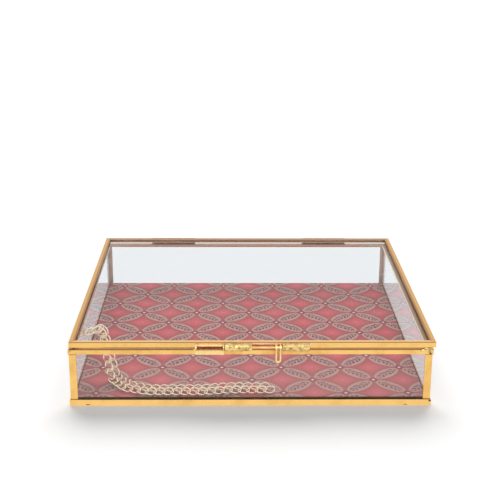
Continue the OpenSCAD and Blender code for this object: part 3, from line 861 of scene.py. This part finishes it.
# %% [markdown]
# A curb link is an oval of wire that has been given about a quarter turn, so
# the chain lies flatter than plain links do. Each link reaches about 2.5 mm
# into the next one, and slants a little out of the chain's line, as links do
# in a chain that lies slack. A ring of points is swept along the twisted oval
# and skinned with faces, which gives wire with a round section.

# %% Twist the links
LINK_HALF_LONG, LINK_HALF_WIDE, LINK_WIRE = 4.2 * MM, 2.5 * MM, 0.47 * MM
LINK_TWIST, LINK_SLANT = math.radians(50), math.radians(14)
LINK_STEPS, WIRE_STEPS = 30, 8
CHAIN_LEAN = Vector((0.1, -0.6, 0.8))


def skin(bm, rings, closed_rings=True, closed_line=False, material=0):
    """Joins rows of points into a surface; gives the rows of vertices."""
    rows = [[bm.verts.new(point) for point in ring] for ring in rings]
    pairs = list(zip(rows, rows[1:])) + ([(rows[-1], rows[0])] if closed_line else [])
    for first, second in pairs:
        count = len(first)
        for i in range(count if closed_rings else count - 1):
            k = (i + 1) % count
            face = bm.faces.new((first[i], first[k], second[k], second[i]))
            face.material_index = material
    return rows


def turns(count):
    """That many angles, spread evenly round a circle."""
    return [2 * math.pi * k / count for k in range(count)]


def twisted_link(bm, middle, axis):
    """Adds one curb link about a middle, with its long side near an axis."""
    lean = (CHAIN_LEAN - axis * CHAIN_LEAN.dot(axis)).normalized()
    beside = lean.cross(axis)
    axis, beside = (axis * math.cos(LINK_SLANT) + beside * math.sin(LINK_SLANT),
                    beside * math.cos(LINK_SLANT) - axis * math.sin(LINK_SLANT))
    line = []
    for angle in turns(LINK_STEPS):
        twist = LINK_TWIST * math.cos(angle)
        flat = beside * math.cos(twist) + lean * math.sin(twist)
        line.append(middle + axis * LINK_HALF_LONG * math.cos(angle)
                    + flat * LINK_HALF_WIDE * math.sin(angle))
    rings = []
    for i, spot in enumerate(line):
        onward = (line[(i + 1) % LINK_STEPS] - line[i - 1]).normalized()
        outward = spot - middle
        outward = (outward - onward * outward.dot(onward)).normalized()
        upright = onward.cross(outward)
        rings.append([spot + LINK_WIRE * (outward * math.cos(a) + upright * math.sin(a))
                      for a in turns(WIRE_STEPS)])
    skin(bm, rings, closed_line=True)


for name in sorted(n for n in nodes if "_chain_" in n):
    bm = bmesh.new()
    for middle, axis in links_of(nodes[name]):
        twisted_link(bm, middle, axis)
    piece = finish_piece("curb_" + name, mesh_of(bm, "curb_" + name), name, "chain",
                         chain_metal)
    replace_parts(piece, name)

# %% [markdown]
# Solder is what holds the box together, and it is never neat. It stands in
# small rounded lumps, spread where it ran. A ball pushed in and out by smooth
# noise and then squashed has that look, and one function makes every lump.

# %% Solder lumps
LUMPY, BROAD_DENTS, FINE_DENTS, MOST_SWELL = 0.3, 1.6, 4.5, 1.15


def lump(bm, middle, radii, seed, detail):
    """Adds one lump; its middle and three radii are in mm."""
    start = len(bm.verts)
    bmesh.ops.create_icosphere(bm, subdivisions=detail, radius=1.0)
    bm.verts.ensure_lookup_table()
    shift = Vector((seed * 3.7, seed * 1.9, seed * 5.3))
    for vertex in bm.verts[start:]:
        way = vertex.co.normalized()
        size = 1 + LUMPY * noise.noise(way * BROAD_DENTS + shift) \
            + 0.4 * LUMPY * noise.noise(way * FINE_DENTS + shift)
        vertex.co = Vector([middle[i] * MM + way[i] * radii[i] * MM
                            * min(size, MOST_SWELL) for i in range(3)])


def lumps(name, body, places, material=solder, detail=3):
    """A piece of several lumps, each with its own dents."""
    bm = bmesh.new()
    for i, (middle, radii) in enumerate(places):
        lump(bm, middle, radii, len(name) + i * 1.7, detail)
    return finish_piece(name, mesh_of(bm, name), body, "solder", material)


rests = {"left": [((-123.1, -118.2, 42.25), (1.6, 1.1, 0.85))],
         "right": [((120.9, -118.3, 42.2), (2.9, 1.1, 0.95)),
                   ((123.2, -118.2, 41.9), (1.4, 1.0, 0.8))]}
for side, places in rests.items():
    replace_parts(lumps("solder_rest_" + side, "base", places), "lid_rest_" + side)
lumps("solder_corner_right", "base", [((122.0, -119.3, 40.4), (2.6, 0.55, 1.5)),
                                      ((118.4, -119.3, 40.9), (2.8, 0.35, 0.7))])
lumps("solder_corner_left", "base", [((-123.6, -119.2, 40.6), (1.3, 0.5, 0.9))])
print("solder lumps placed")

# %% [markdown]
# The keeper is a short tube on the rim that takes the bolt. Its front is cut
# open, so one looks into a dark slot. A wall bent round in a C, closed at
# both ends by a full ring, makes it, and a strap below holds it to the rim.
# Faint noise on the radius gives the tube the waves of a hand-bent one.

# %% Keeper: rings round the tube
TUBE_AXIS = Vector((0, -121.9, 44.2))
TUBE_RADIUS, TUBE_WALL = 2.2, 0.45
OUTER_DENTS, INNER_DENTS = 0.12, 0.05
TUBE_TURNS, TUBE_STEPS = 40, 12


def around(angle):
    """The way out from a tube's axis; angle 0 is the front, 90 the top."""
    return Vector((0, -math.cos(angle), math.sin(angle)))


def tube_ring(x, radius, low, high, wobble):
    """Points round the tube's axis between two angles in degrees."""
    ring = []
    for k in range(TUBE_TURNS + 1):
        way = around(math.radians(low + (high - low) * k / TUBE_TURNS))
        here = radius - wobble * (0.5 + 0.5 * noise.noise(
            Vector((x * 0.5, way.y * 2, way.z * 2))))
        ring.append((Vector((x, 0, 0)) + TUBE_AXIS + way * here) * MM)
    return ring


print("tube", 2 * TUBE_RADIUS, "mm across")

# %% [markdown]
# The tube is made in three lengths: a full ring, the open C, and a full ring
# again. Each length has an outer and an inner skin, and the rims between them
# are closed with faces. The inner skin gets its own dark material, painted
# shade inside the tube.

# %% Keeper with its open slot
OUTSIDE, INSIDE, STRAP = 0, 1, 2
SLOT_LOW, SLOT_HIGH = -27.0, 48.0
LEFT_RING, RIGHT_RING = 1.2, 0.7
STRAP_BACK, STRAP_FRONT, STRAP_LOW, STRAP_HIGH = -119.45, -120.2, 38.3, 42.6
keeper_low, keeper_high = box_in_mm("bolt_keeper")
slot_start, slot_end = keeper_low.x + LEFT_RING, keeper_high.x - RIGHT_RING
bm = bmesh.new()
for first, last, low, high in ((keeper_low.x, slot_start, 0, 360),
                               (slot_start, slot_end, SLOT_HIGH, 360 + SLOT_LOW),
                               (slot_end, keeper_high.x, 0, 360)):
    steps = [first + (last - first) * k / TUBE_STEPS for k in range(TUBE_STEPS + 1)]
    outer = [tube_ring(x, TUBE_RADIUS, low, high, OUTER_DENTS) for x in steps]
    inner = [tube_ring(x, TUBE_RADIUS - TUBE_WALL, low, high, INNER_DENTS)
             for x in steps]
    out_rows = skin(bm, outer, closed_rings=False, material=OUTSIDE)
    in_rows = skin(bm, inner, closed_rings=False, material=INSIDE)
    for a in (0, -1):
        for k in range(TUBE_TURNS):
            bm.faces.new((out_rows[a][k], out_rows[a][k + 1], in_rows[a][k + 1],
                          in_rows[a][k]))
    for k in (0, -1):
        for a in range(TUBE_STEPS):
            bm.faces.new((out_rows[a][k], out_rows[a + 1][k], in_rows[a + 1][k],
                          in_rows[a][k]))
slab(bm, (keeper_low.x, STRAP_FRONT, STRAP_LOW), (keeper_high.x, STRAP_BACK, STRAP_HIGH),
     material=STRAP)
keeper = finish_piece("keeper_tube", mesh_of(bm, "keeper_tube"), "base", "brass",
                      keeper_brass, tube_inside_shade, pale_solder)
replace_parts(keeper, "bolt_keeper")
for face in keeper.data.polygons:
    face.use_smooth = face.material_index != STRAP
lumps("solder_keeper", "base", [((-38.3, -120.6, 42.2), (1.5, 1.3, 0.9)),
                                ((-19.2, -120.7, 42.3), (0.9, 1.1, 0.7))])
print("keeper", round(keeper_high.x - keeper_low.x, 1), "mm long")

# %% [markdown]
# The two guides on the lid are almost lost in solder: what shows is a lumpy
# loaf of pale metal that runs from the lid's face over the tube. A rounded
# section is swept along each guide, and noise at two sizes dents it. Two last
# rings turn the ends inwards into a bore, so the rod slides through air.

# %% Guides under their solder
LOAF_TURNS, LOAF_STEPS = 36, 44
LOAF_MIDDLE_Y, LOAF_MIDDLE_Z = -121.4, 44.4
LOAF_HALF_DEEP, LOAF_HALF_TALL = 3.0, 2.75
LOAF_FRONT, LOAF_LOW, LOAF_HIGH = -124.05, 41.95, 46.85
END_WIDTH, END_SHRINK = 1.2, 0.15
DENT_DEPTH, MOST_SQUARE = 0.26, 1.12
GUIDE_BORE = 1.05


def loaf_ring(x, taper, shift):
    """One squarish, dented section of the loaf, held within its limits."""
    ring = []
    for way in map(around, turns(LOAF_TURNS)):
        hollow = 0.5 + 0.5 * noise.noise(Vector((x * 0.28 + shift, way.y * 1.3,
                                                 way.z * 1.3)))
        hollow += 0.6 * noise.noise(Vector((x * 0.8, way.y * 3, way.z * 3)))
        size = taper * (1 - DENT_DEPTH * max(hollow, 0.0))
        square = min((abs(way.y) ** 4 + abs(way.z) ** 4) ** -0.25, MOST_SQUARE)
        y = LOAF_MIDDLE_Y + way.y * LOAF_HALF_DEEP * size * square
        z = LOAF_MIDDLE_Z + way.z * LOAF_HALF_TALL * size * square
        ring.append(Vector((x, max(y, LOAF_FRONT),
                            min(max(z, LOAF_LOW), LOAF_HIGH))) * MM)
    return ring


def solder_loaf(name, node):
    """Covers one guide with its loaf, and leaves the bore open."""
    low, high = box_in_mm(node)
    rings = []
    for a in range(LOAF_STEPS + 1):
        x = low.x + (high.x - low.x) * a / LOAF_STEPS
        end = max(min(x - low.x, high.x - x), 0.0)
        taper = min(1.0, 1 - END_SHRINK + END_SHRINK * math.sqrt(end / END_WIDTH))
        rings.append(loaf_ring(x, taper, (low.x + high.x) / 2))
    for x in (high.x, low.x):
        rings.append([(Vector((x, 0, 0)) + TUBE_AXIS + around(angle) * GUIDE_BORE) * MM
                      for angle in turns(LOAF_TURNS)])
    bm = bmesh.new()
    skin(bm, rings, closed_line=True)
    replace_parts(finish_piece(name, mesh_of(bm, name), "lid", "solder", solder), node)


solder_loaf("guide_left_soldered", "bolt_guide_left")
solder_loaf("guide_right_soldered", "bolt_guide_right")
lumps("solder_guides", "lid", [((-16.8, -120.9, 45.0), (1.6, 1.8, 1.3)),
                               ((-9.4, -121.0, 45.1), (1.9, 1.6, 1.2)),
                               ((-0.9, -120.8, 45.3), (1.5, 1.7, 1.2)),
                               ((22.6, -121.0, 45.0), (1.4, 1.8, 1.3)),
                               ((26.3, -120.7, 45.4), (1.5, 1.6, 1.1)),
                               ((38.0, -120.9, 45.1), (1.6, 1.8, 1.3))])
print("guides covered")

# %% [markdown]
# Small dark marks sit beside some joints: partly burnt flux, partly painted
# shade in the gaps at the foot of the right post and at the keeper's right
# end. They are thin flakes of the same lump, pressed flat on the metal.

# %% Flux marks and painted shade
lumps("flux_marks", "base", [((122.75, -119.75, 38.8), (0.75, 0.14, 0.55)),
                             ((-112.6, -119.45, 0.75), (1.5, 0.12, 0.4)),
                             ((107.4, -119.45, 0.6), (1.4, 0.12, 0.35)),
                             ((124.2, -119.45, 3.4), (1.0, 0.12, 0.8)),
                             ((-18.5, -119.7, 42.2), (0.9, 0.5, 0.9))],
      material=flux_and_shade_mark, detail=2)
print("flux marks placed")

# %% [markdown]
# Every node of the frame that still shows now gets its finish. The names say
# what a node is made of, so a short list of name starts is enough. The first
# start that fits a node wins, and plain brass strip takes what is left.

# %% Dress the nodes
FINISHES = [*PANES.items(), ("lining_board", board), ("lining_paper", paper),
            ("hinge_leaf", aged_brass), ("hinge_pin", aged_brass),
            ("lid_rest", solder), ("chain_eye", chain_metal),
            ("bolt_rod", rod_metal), ("pull_loop", loop_metal),
            ("lid_rail_left", side_brass), ("lid_rail_right", side_brass),
            ("lid_rail_rear", lid_rear_brass), ("rim_rail_rear", rear_brass),
            ("post_rear", rear_brass), ("lid_rail_front", lid_front_brass),
            ("rim_rail_front", rim_front_brass), ("rim_rail", rim_brass),
            ("post", post_brass), ("", brass)]


def finish_of(name):
    """The material of the first start that fits a node's name."""
    return next(material for start, material in FINISHES if name.startswith(start))


for name, node in nodes.items():
    if not node.material_slots:
        node.data.materials.append(finish_of(name))
    for slot in node.material_slots:
        slot.material = finish_of(name)
print("dressed", len(nodes), "nodes")
